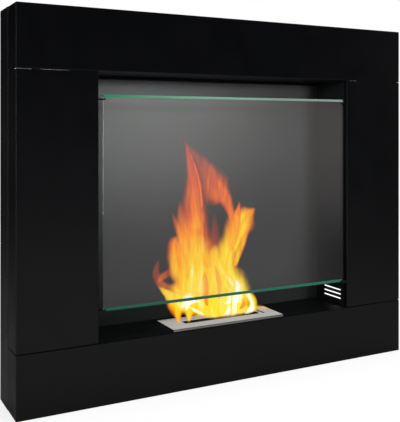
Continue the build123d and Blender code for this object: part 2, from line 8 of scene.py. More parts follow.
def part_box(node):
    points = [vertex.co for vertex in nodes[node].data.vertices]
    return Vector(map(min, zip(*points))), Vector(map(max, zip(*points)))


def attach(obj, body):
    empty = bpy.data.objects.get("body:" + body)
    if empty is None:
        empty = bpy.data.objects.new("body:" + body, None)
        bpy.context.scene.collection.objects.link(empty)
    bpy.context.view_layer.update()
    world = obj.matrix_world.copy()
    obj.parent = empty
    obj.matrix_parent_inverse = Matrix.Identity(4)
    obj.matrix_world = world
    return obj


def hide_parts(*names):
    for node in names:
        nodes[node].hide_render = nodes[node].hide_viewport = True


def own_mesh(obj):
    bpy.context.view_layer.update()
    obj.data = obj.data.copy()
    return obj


# Wall-hung bioethanol fireplace. Metres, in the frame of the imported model: +X runs along the
# front to the right, +Y points to the wall behind, +Z up, and z = 0 is the frame's underside.
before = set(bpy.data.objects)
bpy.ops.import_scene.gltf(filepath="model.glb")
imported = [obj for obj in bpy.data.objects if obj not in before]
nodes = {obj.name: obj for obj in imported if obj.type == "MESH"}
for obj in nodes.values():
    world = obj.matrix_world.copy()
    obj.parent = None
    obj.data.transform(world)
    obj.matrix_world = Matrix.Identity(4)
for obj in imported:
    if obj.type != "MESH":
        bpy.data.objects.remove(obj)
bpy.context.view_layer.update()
MM = 0.001


# ------------------------------------------------------------------ rear casing
# Four folded strips of 1.5 mm sheet steel that make the rear half of the frame's edge.
# They are sprayed with black polyester powder and baked: a satin skin with faint orange
# peel. A lighter colour is painted on the bends as a highlight.

COAT_BLACK = "#040509"
COAT_WORN = "#08090e"
COAT_BEND_HIGHLIGHT = "#0e0f12"
COAT_PEEL = 1.6 * MM
COAT_PEEL_DEPTH = 0.04 * MM
COAT_PEEL_STRENGTH = 0.12
COAT_CLOUD = 70 * MM
COAT_CLOUD_RANGE = (0.3, 0.7)
COAT_ROUGHNESS = (0.40, 0.48)
BEND_HIGHLIGHT_RANGE = (0.985, 0.90)  # 1 is a face that looks straight along an axis, and less is a bend
CASING_GLOSS = 0.80


def linear(hex_colour):
    """An sRGB hex colour as the linear colour that a shader takes."""
    digits = hex_colour.lstrip("#")
    channels = [int(digits[i : i + 2], 16) / 255 for i in (0, 2, 4)]
    return [c / 12.92 if c <= 0.04045 else ((c + 0.055) / 1.055) ** 2.4 for c in channels] + [1.0]


def add_node(tree, kind, inputs=None, **settings):
    """A node with its settings, and its inputs as values or as links from other sockets."""
    node = tree.nodes.new(kind)
    for name, value in settings.items():
        setattr(node, name, value)
    for name, value in (inputs or {}).items():
        socket = node.inputs[name]
        if isinstance(value, list) and isinstance(value[0], bpy.types.NodeSocket):
            for each in value:
                tree.links.new(each, socket)
        elif isinstance(value, bpy.types.NodeSocket):
            tree.links.new(value, socket)
        else:
            socket.default_value = value
    return node


def maths(tree, operation, *values):
    """The result of one step of arithmetic on numbers or sockets."""
    return add_node(tree, "ShaderNodeMath", dict(enumerate(values)), operation=operation).outputs[0]


def map_range(tree, value, source, target=(0.0, 1.0), smooth=False):
    """A value carried from one range to another and held inside it."""
    inputs = {
        "Value": value,
        "From Min": source[0],
        "From Max": source[1],
        "To Min": target[0],
        "To Max": target[1],
    }
    shape = "SMOOTHSTEP" if smooth else "LINEAR"
    return add_node(tree, "ShaderNodeMapRange", inputs, interpolation_type=shape).outputs["Result"]


def mix_colours(tree, share, first, second):
    """Two colours mixed, each a hex colour or a socket."""
    ends = [linear(end) if isinstance(end, str) else end for end in (first, second)]
    inputs = {0: share, 6: ends[0], 7: ends[1]}
    return add_node(tree, "ShaderNodeMix", inputs, data_type="RGBA").outputs[2]


def split(tree, vector):
    """The three parts of a vector."""
    return list(add_node(tree, "ShaderNodeSeparateXYZ", {0: vector}).outputs)


def object_place(tree):
    """The place on the piece, in the piece's own coordinates."""
    return add_node(tree, "ShaderNodeTexCoord").outputs["Object"]


def cloudy(tree, place, size, detail, distortion=0.0):
    """Soft noise from 0 to 1 whose patches have this size."""
    inputs = {"Vector": place, "Scale": 1 / size, "Detail": detail, "Distortion": distortion}
    return add_node(tree, "ShaderNodeTexNoise", inputs).outputs["Fac"]


def bump(tree, height, strength, depth):
    """Fine relief that follows a pattern."""
    inputs = {"Height": height, "Strength": strength, "Distance": depth}
    return add_node(tree, "ShaderNodeBump", inputs).outputs["Normal"]


def new_material(name):
    """An empty material and its node tree."""
    material = bpy.data.materials.new(name)
    material.use_nodes = True
    material.node_tree.nodes.clear()
    return material, material.node_tree


def finish_with(tree, shader):
    """The material shows this shader."""
    add_node(tree, "ShaderNodeOutputMaterial", {"Surface": shader})


def surface(tree, inputs):
    """The material is a plain surface with these properties."""
    finish_with(tree, add_node(tree, "ShaderNodeBsdfPrincipled", inputs).outputs[0])


def dress(names, material):
    """CAD pieces that keep their shape get a finish."""
    for name in names:
        piece = nodes[name]
        piece.data.materials.clear()
        piece.data.materials.append(material)


def black_powder_coat(name, gloss_level):
    """Satin black polyester powder on folded steel, with a painted highlight on the bends."""
    material, tree = new_material(name)
    place = object_place(tree)
    peel = cloudy(tree, place, COAT_PEEL, detail=2.0)
    cloud = cloudy(tree, place, COAT_CLOUD, detail=3.0)
    facing = split(tree, add_node(tree, "ShaderNodeNewGeometry").outputs["Normal"])
    sizes = [maths(tree, "ABSOLUTE", part) for part in facing]
    flat = maths(tree, "MAXIMUM", maths(tree, "MAXIMUM", sizes[0], sizes[1]), sizes[2])
    # Painted highlight: the bends get a lighter colour, which stands in for the light that they
    # catch.
    bend_highlight = map_range(tree, flat, BEND_HIGHLIGHT_RANGE)
    skin = mix_colours(tree, cloud, COAT_BLACK, COAT_WORN)
    surface(
        tree,
        {
            "Base Color": mix_colours(tree, bend_highlight, skin, COAT_BEND_HIGHLIGHT),
            "Roughness": map_range(tree, cloud, COAT_CLOUD_RANGE, COAT_ROUGHNESS),
            "Normal": bump(tree, peel, COAT_PEEL_STRENGTH, COAT_PEEL_DEPTH),
            "Specular IOR Level": gloss_level,
        },
    )
    return material


dress(
    ["casing_top", "casing_bottom", "casing_left_side", "casing_right_side"],
    black_powder_coat("black_powder_coat_casing", CASING_GLOSS),
)


# ------------------------------------------------------------------ brackets and rails
# Plain parts that nobody sees once the fireplace hangs: corner brackets and the two
# stepped rails. They are hot-dip galvanised sheet, left bare: a pale grey metal broken
# into flat spangles, each with its own sheen.

ZINC_LIGHT = "#b4b7ba"
ZINC_DARK = "#8d9196"
ZINC_ROUGHNESS = (0.32, 0.55)
SPANGLE = 9 * MM


def galvanised_sheet():
    """Hot-dip galvanised steel with its crystal spangles."""
    material, tree = new_material("galvanised_steel")
    pattern = {"Vector": object_place(tree), "Scale": 1 / SPANGLE, "Randomness": 1.0}
    crystals = add_node(tree, "ShaderNodeTexVoronoi", pattern).outputs["Color"]
    tone = add_node(tree, "ShaderNodeSeparateColor", {0: crystals}).outputs
    surface(
        tree,
        {
            "Base Color": mix_colours(tree, tone[0], ZINC_DARK, ZINC_LIGHT),
            "Roughness": map_range(tree, tone[1], (0.0, 1.0), ZINC_ROUGHNESS),
            "Metallic": 1.0,
        },
    )
    return material


dress(["casing_corner_brackets", "upper_hanging_rail", "lower_rear_rail"], galvanised_sheet())


# ------------------------------------------------------------------ firebox
# Side walls, back, floor and ceiling of the firebox, the shield behind it, and the well that
# the burner drops into. They are folded sheet under black stove paint, which is matt and
# slightly grainy and greyer in patches. The back has a lighter grey copy of the paint, which is
# painted light.

STOVE_BLACK = "#101112"
STOVE_GREY = "#1a1b1c"
BACK_PAINTED_LIT_DARK = "#2c2c2d"
BACK_PAINTED_LIT_LIGHT = "#333334"
STOVE_GRAIN = 0.9 * MM  # the paint's own grain is nearer 0.2 mm, too fine to show
STOVE_GRAIN_DEPTH = 0.04 * MM
STOVE_GRAIN_STRENGTH = 0.08
STOVE_CLOUD = 110 * MM
STOVE_GLOSS = 0.30
STOVE_ROUGHNESS = 0.55
BACK_ROUGHNESS = 0.50


def stove_paint(name, dark, light, roughness):
    """Heat-resistant black paint on sheet steel."""
    material, tree = new_material(name)
    place = object_place(tree)
    grain = cloudy(tree, place, STOVE_GRAIN, detail=3.0)
    cloud = cloudy(tree, place, STOVE_CLOUD, detail=2.0)
    surface(
        tree,
        {
            "Base Color": mix_colours(tree, cloud, dark, light),
            "Roughness": roughness,
            "Normal": bump(tree, grain, STOVE_GRAIN_STRENGTH, STOVE_GRAIN_DEPTH),
            "Specular IOR Level": STOVE_GLOSS,
        },
    )
    return material


dress(
    [
        "heat_shield",
        "firebox_left_wall",
        "firebox_right_wall",
        "firebox_floor",
        "firebox_ceiling",
        "burner_well",
    ],
    stove_paint("black_stove_paint", STOVE_BLACK, STOVE_GREY, STOVE_ROUGHNESS),
)
# The back's lighter copy of the stove paint is painted light: it stands in for the light that falls
# on the back.
back_paint_painted_light = stove_paint("stove_paint_painted_lighter_back", BACK_PAINTED_LIT_DARK, BACK_PAINTED_LIT_LIGHT, BACK_ROUGHNESS)
dress(["firebox_back"], back_paint_painted_light)


# ------------------------------------------------------------------ fasteners
# Pan-head screws with a cross recess and hexagon nuts, cold-headed from steel wire and
# plated with bright zinc. Studs, spacer tubes and spring clips have the same plating,
# which the eye reads as a cool silver with small cloudy patches.

PLATING = "#c3c5c6"
PLATING_CLOUD = 3 * MM
PLATING_ROUGHNESS = (0.22, 0.42)
HEAD_RADIUS = 3.8 * MM
HEAD_HEIGHT = 2.2 * MM
HEAD_FOOT = 0.995  # these four are shares of the head's radius
HEAD_NARROWING = 0.42
RECESS_LENGTH = 1.05
RECESS_WIDTH = 0.26
SHANK_RADIUS = 2.0 * MM
THREAD_PITCH = 0.7 * MM
THREAD_ROOT = 0.85  # these two are shares of the shank's radius
THREAD_RISE = 0.14
DOME_POWER = 3.0  # the head stays wide low down and curves in near its top
HEAD_SIDES = 32
HEAD_STEPS = 6
SHANK_SIDES = 18
STEPS_A_RIDGE = 2.0
NUT_ACROSS = 8.0 * MM
NUT_HEIGHT = 4.0 * MM
NUT_STEPS = 8
BORE_SIDES = 24
CHAMFER_RANGE = (0.36, 0.5)  # shares of the height, from its middle
CHAMFER_WIDTH = (1.0, 0.9)
STUD_RADIUS = 2.5 * MM
STUD_CLEARANCE = 0.05 * MM


def zinc_plating():
    """Bright zinc-plated steel."""
    material, tree = new_material("zinc_plated_steel")
    wear = cloudy(tree, object_place(tree), PLATING_CLOUD, detail=2.0)
    sheen = map_range(tree, wear, (0.0, 1.0), PLATING_ROUGHNESS)
    surface(tree, {"Base Color": linear(PLATING), "Roughness": sheen, "Metallic": 1.0})
    return material


def show(name, data):
    """A new object in the scene, at the origin."""
    piece = bpy.data.objects.new(name, data)
    bpy.context.scene.collection.objects.link(piece)
    return piece


def loose_parts(name):
    """The corner points of each separate solid in a CAD node."""
    mesh = bmesh.new()
    mesh.from_mesh(nodes[name].data)
    bmesh.ops.remove_doubles(mesh, verts=mesh.verts, dist=0.001 * MM)
    seen = set()
    parts = []
    for vert in mesh.verts:
        if vert in seen:
            continue
        seen.add(vert)
        waiting = [vert]
        points = []
        while waiting:
            current = waiting.pop()
            points.append(current.co.copy())
            for edge in current.link_edges:
                other = edge.other_vert(current)
                if other not in seen:
                    seen.add(other)
                    waiting.append(other)
        parts.append(points)
    mesh.free()
    return parts


def screw_seats(name):
    """Each screw: where its head's underside is, where the head faces, how long the shank is."""
    found = []
    for points in loose_parts(name):
        low = Vector([min(p[i] for p in points) for i in range(3)])
        high = Vector([max(p[i] for p in points) for i in range(3)])
        size = high - low
        axis = max(range(3), key=lambda i: abs(size[i] - 2 * HEAD_RADIUS))
        middle = (low + high) / 2
        weight = sum(p[axis] for p in points) / len(points)
        sign = 1.0 if weight > middle[axis] else -1.0
        outward = Vector((0.0, 0.0, 0.0))
        outward[axis] = sign
        seat = middle.copy()
        seat[axis] = (high[axis] if sign > 0 else low[axis]) - sign * HEAD_HEIGHT
        found.append((seat, outward, size[axis] - HEAD_HEIGHT))
    return found


def start_tree(name, sizes):
    """An empty Geometry Nodes tree with a geometry in and out, named sizes and a material."""
    tree = bpy.data.node_groups.new(name, "GeometryNodeTree")
    tree.interface.new_socket("Geometry", in_out="OUTPUT", socket_type="NodeSocketGeometry")
    tree.interface.new_socket("Geometry", in_out="INPUT", socket_type="NodeSocketGeometry")
    for label in sizes:
        tree.interface.new_socket(label, in_out="INPUT", socket_type="NodeSocketFloat")
    tree.interface.new_socket("Material", in_out="INPUT", socket_type="NodeSocketMaterial")
    return tree, add_node(tree, "NodeGroupInput").outputs


def end_tree(tree, given, unit):
    """One unit on each point, turned to its outward direction, as real mesh with its material."""
    outward = {"Name": "outward"}
    way = add_node(
        tree, "GeometryNodeInputNamedAttribute", outward, data_type="FLOAT_VECTOR"
    ).outputs[0]
    turn = add_node(tree, "FunctionNodeAlignRotationToVector", {"Vector": way}, axis="Z").outputs[0]
    spread = {"Points": given["Geometry"], "Instance": unit, "Rotation": turn}
    placed = add_node(tree, "GeometryNodeInstanceOnPoints", spread).outputs[0]
    real = add_node(tree, "GeometryNodeRealizeInstances", {0: placed}).outputs[0]
    finish = {"Geometry": real, "Material": given["Material"]}
    painted = add_node(tree, "GeometryNodeSetMaterial", finish).outputs[0]
    add_node(tree, "NodeGroupOutput", {"Geometry": painted})


def point_place(tree):
    """The place of each point, as three numbers."""
    return split(tree, add_node(tree, "GeometryNodeInputPosition").outputs[0])


def cylinder(tree, corners, radius, length, steps=1):
    """A closed cylinder or prism about the Z axis, in this many steps."""
    inputs = {"Vertices": corners, "Side Segments": steps, "Radius": radius, "Depth": length}
    return add_node(tree, "GeometryNodeMeshCylinder", inputs).outputs[0]


def scaled_across(tree, geometry, factor):
    """The geometry with its points moved in or out from its own Z axis."""
    x, y, z = point_place(tree)
    parts = {0: maths(tree, "MULTIPLY", x, factor), 1: maths(tree, "MULTIPLY", y, factor), 2: z}
    place = add_node(tree, "ShaderNodeCombineXYZ", parts).outputs[0]
    inputs = {"Geometry": geometry, "Position": place}
    return add_node(tree, "GeometryNodeSetPosition", inputs).outputs[0]


def lifted(tree, geometry, height, turn=0.0):
    """The geometry moved along Z, and turned about it."""
    shift = add_node(tree, "ShaderNodeCombineXYZ", {2: height}).outputs[0]
    inputs = {"Geometry": geometry, "Translation": shift, "Rotation": (0.0, 0.0, turn)}
    return add_node(tree, "GeometryNodeTransform", inputs).outputs[0]


def cut(tree, body, tools):
    """The body without the space that the tools take."""
    inputs = {"Mesh 1": body, "Mesh 2": tools}
    settings = {"operation": "DIFFERENCE", "solver": "EXACT"}
    return add_node(tree, "GeometryNodeMeshBoolean", inputs, **settings).outputs[0]


def pan_head_screws():
    """Domed head, cross recess and ridged shank, with the head's underside on the point."""
    tree, given = start_tree(
        "pan_head_screws", ("Head radius", "Head height", "Shank radius", "Shank length", "Pitch")
    )
    height = given["Head height"]
    blank = cylinder(tree, HEAD_SIDES, given["Head radius"], height, HEAD_STEPS)
    share = maths(tree, "DIVIDE", point_place(tree)[2], height)
    share = maths(tree, "ADD", share, 0.5)
    curve = maths(tree, "POWER", share, DOME_POWER)
    dome = maths(tree, "MULTIPLY_ADD", curve, -HEAD_NARROWING, HEAD_FOOT)
    half_height = maths(tree, "MULTIPLY", height, 0.5)
    head = lifted(tree, scaled_across(tree, blank, dome), half_height)
    arm = maths(tree, "MULTIPLY", given["Head radius"], RECESS_LENGTH)
    slit = maths(tree, "MULTIPLY", given["Head radius"], RECESS_WIDTH)
    bar_size = add_node(tree, "ShaderNodeCombineXYZ", {0: arm, 1: slit, 2: height}).outputs[0]
    bars = []
    # The bars are centred on the head's top, so the recess is half a head deep.
    for turn in (0.0, math.pi / 2):
        bar = add_node(tree, "GeometryNodeMeshCube", {"Size": bar_size}).outputs[0]
        bars.append(lifted(tree, bar, height, turn))
    head = cut(tree, head, bars)
    length = given["Shank length"]
    turns = maths(tree, "DIVIDE", length, given["Pitch"])
    steps = maths(tree, "MULTIPLY", turns, STEPS_A_RIDGE)
    rod = cylinder(tree, SHANK_SIDES, given["Shank radius"], length, steps)
    half_pitch = maths(tree, "MULTIPLY", given["Pitch"], 0.5)
    ridge = maths(tree, "PINGPONG", point_place(tree)[2], half_pitch)
    ridge = maths(tree, "DIVIDE", ridge, half_pitch)
    ridge = maths(tree, "MULTIPLY_ADD", ridge, THREAD_RISE, THREAD_ROOT)
    drop = maths(tree, "MULTIPLY", length, -0.5)
    shank = lifted(tree, scaled_across(tree, rod, ridge), drop)
    unit = add_node(tree, "GeometryNodeJoinGeometry", {0: [head, shank]}).outputs[0]
    end_tree(tree, given, unit)
    return tree


def hexagon_nuts():
    """A chamfered hexagon with its bore, with its underside on the point."""
    tree, given = start_tree("hexagon_nuts", ("Corner radius", "Height", "Bore radius"))
    height = given["Height"]
    blank = cylinder(tree, 6, given["Corner radius"], height, NUT_STEPS)
    share = maths(tree, "DIVIDE", point_place(tree)[2], height)
    share = maths(tree, "ABSOLUTE", share)
    chamfer = map_range(tree, share, CHAMFER_RANGE, CHAMFER_WIDTH)
    half_height = maths(tree, "MULTIPLY", height, 0.5)
    hexagon = lifted(tree, scaled_across(tree, blank, chamfer), half_height, math.pi / 6)
    bore_length = maths(tree, "MULTIPLY", height, 3.0)  # the bore passes both faces
    bore = cylinder(tree, BORE_SIDES, given["Bore radius"], bore_length)
    end_tree(tree, given, cut(tree, hexagon, [bore]))
    return tree


def set_out(name, places, tree, values):
    """One plain mesh with a copy of the tree's unit at every place, in place of the CAD node."""
    points = bpy.data.meshes.new(name + "_places")
    points.from_pydata([place[0] for place in places], [], [])
    facing = points.attributes.new("outward", "FLOAT_VECTOR", "POINT")
    for i, place in enumerate(places):
        facing.data[i].vector = place[1]
    holder = show(name + "_holder", points)
    modifier = holder.modifiers.new("fasteners", "NODES")
    modifier.node_group = tree
    for item in tree.interface.items_tree:
        if item.in_out == "INPUT" and item.name in values:
            modifier[item.identifier] = values[item.name]
    bpy.context.view_layer.update()
    shown = holder.evaluated_get(bpy.context.evaluated_depsgraph_get())
    data = bpy.data.meshes.new_from_object(shown)
    data.name = "plated_" + name
    bpy.data.objects.remove(holder)
    piece = show("plated_" + name, data)
    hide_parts(name)
    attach(piece, "case")


plating = zinc_plating()
screws = pan_head_screws()
for name in (
    "panel_screws",
    "rail_screws",
    "shield_screws",
    "firebox_screws",
    "burner_well_screws",
    "pane_lug_screws",
):
    places = screw_seats(name)
    sizes = {
        "Head radius": HEAD_RADIUS,
        "Head height": HEAD_HEIGHT,
        "Shank radius": SHANK_RADIUS,
        "Shank length": places[0][2],
        "Pitch": THREAD_PITCH,
        "Material": plating,
    }
    set_out(name, places, screws, sizes)
nut_places = []
for points in loose_parts("shield_nuts"):
    xs, ys, zs = zip(*points)
    under = Vector(((min(xs) + max(xs)) / 2, min(ys), (min(zs) + max(zs)) / 2))
    nut_places.append((under, Vector((0.0, 1.0, 0.0))))
nut_sizes = {
    "Corner radius": NUT_ACROSS / 2 / math.cos(math.pi / 6),
    "Height": NUT_HEIGHT,
    "Bore radius": STUD_RADIUS + STUD_CLEARANCE,
    "Material": plating,
}
set_out("shield_nuts", nut_places, hexagon_nuts(), nut_sizes)
dress(["shield_studs", "shield_spacers", "panel_joint_clips"], plating)


# ------------------------------------------------------------------ front panels
# Top bar, bottom bar and two columns, each one folded sheet with returned edges, so that
# every joint between them is a narrow groove between two rounded bends. They have the
# casing's powder coat, a little less glossy.

FRONT_GLOSS = 0.44
powder_coat = black_powder_coat("black_powder_coat_front", FRONT_GLOSS)
dress(["top_bar", "bottom_bar", "left_column", "right_column"], powder_coat)


# ------------------------------------------------------------------ pane fittings
# Notched steel lugs and cups that stick out of the shadow gap and hold the glass, lined
# with black silicone so that the steel never touches it.

SILICONE_BLACK = "#141414"
SILICONE_BLOOM = 2 * MM
SILICONE_ROUGHNESS = (0.55, 0.75)


def silicone_rubber():
    """Moulded black silicone, matt and a little waxy."""
    material, tree = new_material("black_silicone")
    bloom = cloudy(tree, object_place(tree), SILICONE_BLOOM, detail=2.0)
    sheen = map_range(tree, bloom, (0.0, 1.0), SILICONE_ROUGHNESS)
    surface(tree, {"Base Color": linear(SILICONE_BLACK), "Roughness": sheen})
    return material


dress(["upper_left_pane_lug", "upper_right_pane_lug"], powder_coat)
dress(["lower_left_pane_cup", "lower_right_pane_cup"], powder_coat)
dress(["upper_pane_liners", "lower_pane_liners"], silicone_rubber())


# ------------------------------------------------------------------ glass pane
# One sheet of 6 mm clear toughened float glass. Its long edges are ground to a polished
# facet, where the glass is seen in depth and looks green. A faint grey film on it is a
# painted reflection: a veil of the light that the glass gives back, thinner to the right and
# downwards.

FACET_HEIGHT = 5.6 * MM
FACET_DEPTH = 1.5 * MM
FACET_RISE = 0.1  # a face whose normal rises or falls by more than this is a facet
PANE_ARRIS = 0.6 * MM
GLASS_TINT = "#f6faf8"
GLASS_IOR = 1.52
GLASS_ROUGHNESS = 0.05
WHITE = "#ffffff"
EDGE_GREEN = "#0c4a31"
EDGE_HIGHLIGHT_PALE = "#5f6c67"
EDGE_TEAL = "#1d6a55"
EDGE_ROUGHNESS = 0.12
EDGE_PAINTED_GLOW = 0.14  # the light that the sheet gathers and lets out at its edge
REFLECTION_VEIL_GREY = "#ebe2e2"
REFLECTION_VEIL_SHARE = 0.020
VEIL_FADE_X = (120 * MM, 320 * MM)
VEIL_FADE_Z = (460 * MM, 200 * MM)
VEIL_FADE_AMOUNT = 0.95


def mesh_data(name, mesh):
    """A finished mesh as data for an object."""
    data = bpy.data.meshes.new(name)
    mesh.to_mesh(data)
    mesh.free()
    return data


def pane_mesh():
    """A slab whose section has a facet on each long edge, closed with arrised ends."""
    low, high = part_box("glass_pane")
    y0, y1 = low.y, high.y
    z0, z1 = low.z, high.z
    section = [
        (y0, z0 + FACET_HEIGHT),
        (y0 + FACET_DEPTH, z0),
        (y1 - FACET_DEPTH, z0),
        (y1, z0 + FACET_HEIGHT),
        (y1, z1 - FACET_HEIGHT),
        (y1 - FACET_DEPTH, z1),
        (y0 + FACET_DEPTH, z1),
        (y0, z1 - FACET_HEIGHT),
    ]
    middle = ((y0 + y1) / 2, (z0 + z1) / 2)
    half_y = (y1 - y0) / 2
    half_z = (z1 - z0) / 2
    mesh = bmesh.new()
    rings = []
    for x, inset in (
        (low.x, PANE_ARRIS),
        (low.x + PANE_ARRIS, 0.0),
        (high.x - PANE_ARRIS, 0.0),
        (high.x, PANE_ARRIS),
    ):
        ring = []
        for y, z in section:
            y_in = middle[0] + (y - middle[0]) * (1 - inset / half_y)
            z_in = middle[1] + (z - middle[1]) * (1 - inset / half_z)
            ring.append(mesh.verts.new((x, y_in, z_in)))
        rings.append(ring)
    count = len(section)
    for a, b in zip(rings, rings[1:]):
        for i in range(count):
            mesh.faces.new([a[i], b[i], b[(i + 1) % count], a[(i + 1) % count]])
    mesh.faces.new(list(reversed(rings[0])))
    mesh.faces.new(rings[-1])
    bmesh.ops.recalc_face_normals(mesh, faces=mesh.faces)
    for face in mesh.faces:
        face.material_index = 1 if abs(face.normal.z) > FACET_RISE else 0
    return mesh_data("pane", mesh)


def mix_shaders(tree, share, first, second):
    """Two shaders mixed."""
    return add_node(tree, "ShaderNodeMixShader", {0: share, 1: first, 2: second}).outputs[0]


def float_glass():
    """Clear glass with a painted veil of reflected light, that lamps shine through and that mirrors
    the room faintly.
    """
    material, tree = new_material("clear_float_glass")
    clear = add_node(tree, "ShaderNodeBsdfTransparent", {"Color": linear(GLASS_TINT)}).outputs[0]
    # Painted reflection: a faint grey diffuse film, lit by the lamps, stands in for the veil of
    # light that the glass gives back.
    reflection_veil = add_node(tree, "ShaderNodeBsdfDiffuse", {"Color": linear(REFLECTION_VEIL_GREY)}).outputs[0]
    place = split(tree, object_place(tree))
    right = map_range(tree, place[0], VEIL_FADE_X, smooth=True)
    low = map_range(tree, place[2], VEIL_FADE_Z, smooth=True)
    veil_fade = maths(tree, "MULTIPLY", right, low)
    veil_share = maths(tree, "MULTIPLY_ADD", veil_fade, -REFLECTION_VEIL_SHARE * VEIL_FADE_AMOUNT, REFLECTION_VEIL_SHARE)
    veiled = mix_shaders(tree, veil_share, clear, reflection_veil)
    leaving = add_node(tree, "ShaderNodeNewGeometry").outputs["Backfacing"]
    entering = maths(tree, "SUBTRACT", 1.0, leaving)
    mirror = add_node(tree, "ShaderNodeFresnel", {"IOR": GLASS_IOR}).outputs[0]
    shine = {"Color": linear(WHITE), "Roughness": GLASS_ROUGHNESS}
    gloss = add_node(tree, "ShaderNodeBsdfGlossy", shine).outputs[0]
    finish_with(tree, mix_shaders(tree, maths(tree, "MULTIPLY", mirror, entering), veiled, gloss))
    return material


def glass_edge():
    """The polished facets: green where the eye looks along the sheet, with a painted glow, and a
    painted highlight that turns the upper facet paler to the right.
    """
    material, tree = new_material("polished_glass_edge")
    place = split(tree, object_place(tree))
    low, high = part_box("glass_pane")
    along = map_range(tree, place[0], (low.x, high.x))
    # Painted highlight: the upper facet turns paler towards the right.
    upper = mix_colours(tree, along, EDGE_GREEN, EDGE_HIGHLIGHT_PALE)
    top = maths(tree, "GREATER_THAN", place[2], (low.z + high.z) / 2)
    colour = mix_colours(tree, top, EDGE_TEAL, upper)
    # The facets also glow in their own colour: a painted glow, though the edge is no lamp.
    surface(
        tree,
        {
            "Base Color": colour,
            "Roughness": EDGE_ROUGHNESS,
            "IOR": GLASS_IOR,
            "Emission Color": colour,
            "Emission Strength": EDGE_PAINTED_GLOW,
        },
    )
    return material


pane = show("pane", pane_mesh())
pane.data.materials.append(float_glass())
pane.data.materials.append(glass_edge())
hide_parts("glass_pane")
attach(pane, "pane")


# ------------------------------------------------------------------ burner
# The fuel box, its top plate, the damper and their guides: 1.2 mm stainless steel, brushed
# along its length. The heat has tempered the plate to a pale straw beside the flame slot.

STEEL_LIGHT = "#c6c2bc"
STEEL_DARK = "#9b9894"
STEEL_ROUGHNESS = (0.26, 0.44)
BRUSH_LENGTH = 150 * MM
BRUSH_WIDTH = 1.0 * MM  # real lines are nearer 0.1 mm, too fine to show
BRUSH_RANGE = (0.36, 0.62)
BRUSH_DEPTH = 0.03 * MM
BRUSH_STRENGTH = 0.2
STRAW = "#b98a4e"
STRAW_SHARE = 0.22
STRAW_REACH = (10 * MM, 21 * MM)  # how far from the slot's middle the tint starts to fade and ends
SLOT_Y = -24.5  # the slot's middle, in millimetres


def stretched(tree, place, sizes, shift=(0.0, 0.0, 0.0), turn=(0.0, 0.0, 0.0)):
    """Coordinates in which a pattern gets these sizes along X, Y and Z."""
    scale = [1 / size for size in sizes]
    inputs = {"Vector": place, "Location": shift, "Rotation": turn, "Scale": scale}
    return add_node(tree, "ShaderNodeMapping", inputs).outputs[0]


def brushed_stainless():
    """Stainless steel with a long brushed grain and a heat tint beside the slot."""
    material, tree = new_material("brushed_stainless_steel")
    place = object_place(tree)
    brush = stretched(tree, place, (BRUSH_LENGTH, BRUSH_WIDTH, BRUSH_WIDTH))
    lines = cloudy(tree, brush, size=1.0, detail=3.0)
    strokes = map_range(tree, lines, BRUSH_RANGE)
    grain = mix_colours(tree, strokes, STEEL_DARK, STEEL_LIGHT)
    off = maths(tree, "ABSOLUTE", maths(tree, "SUBTRACT", split(tree, place)[1], SLOT_Y * MM))
    heated = map_range(tree, off, STRAW_REACH, (STRAW_SHARE, 0.0), smooth=True)
    surface(
        tree,
        {
            "Base Color": mix_colours(tree, heated, grain, STRAW),
            "Roughness": map_range(tree, lines, (0.0, 1.0), STEEL_ROUGHNESS),
            "Metallic": 1.0,
            "Normal": bump(tree, lines, BRUSH_STRENGTH, BRUSH_DEPTH),
        },
    )
    return material


stainless = brushed_stainless()
dress(["burner_top_plate", "burner_box", "wool_grid"], stainless)
dress(["damper_plate", "damper_hook_tab", "damper_left_guide", "damper_right_guide"], stainless)


# ------------------------------------------------------------------ ceramic wool
# A tight pad of ceramic fibre that fills the fuel box under its grid and soaks up the
# ethanol. It is needled felt, off-white, with matted fibres and a slightly lumpy skin.

WOOL_WHITE = "#e9e6dc"
WOOL_SHADE = "#cfc9b8"
WOOL_ROUGHNESS = 0.95
WOOL_SHEEN = 0.3
WOOL_CORNER = 4.0 * MM
WOOL_CLEARANCE = 0.05 * MM
WOOL_LUMP = 22 * MM
WOOL_LUMP_DEPTH = 1.4 * MM
WOOL_FIBRE = 1.5 * MM  # the fibres are a few hundredths across, too fine to show
WOOL_FIBRE_LENGTH = 10 * MM
WOOL_FIBRE_DEPTH = 0.4 * MM
WOOL_FIBRE_STRENGTH = 0.6
WOOL_FIBRE_TURNS = (0.3, 1.9)
WOOL_FIBRE_TILT = 0.2
WOOL_CELLS = 34


def wool_mesh():
    """The pad: a box with soft corners whose skin sinks a little between the lumps."""
    low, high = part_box("ceramic_wool")
    mesh = bmesh.new()
    bmesh.ops.create_cube(mesh, size=1.0)
    bmesh.ops.subdivide_edges(mesh, edges=mesh.edges, cuts=WOOL_CELLS, use_grid_fill=True)
    middle = (low + high) / 2
    size = high - low
    core_low = low + Vector((WOOL_CORNER,) * 3)
    core_high = high - Vector((WOOL_CORNER,) * 3)
    for vert in mesh.verts:
        place = middle + Vector([vert.co[i] * size[i] for i in range(3)])
        core = Vector([min(max(place[i], core_low[i]), core_high[i]) for i in range(3)])
        outward = (place - core).normalized()
        lump = 0.5 + 0.5 * noise.noise(place / WOOL_LUMP)
        vert.co = core + outward * (WOOL_CORNER - WOOL_CLEARANCE - WOOL_LUMP_DEPTH * lump)
    bmesh.ops.recalc_face_normals(mesh, faces=mesh.faces)
    for face in mesh.faces:
        face.smooth = True
    return mesh_data("wool_pad", mesh)


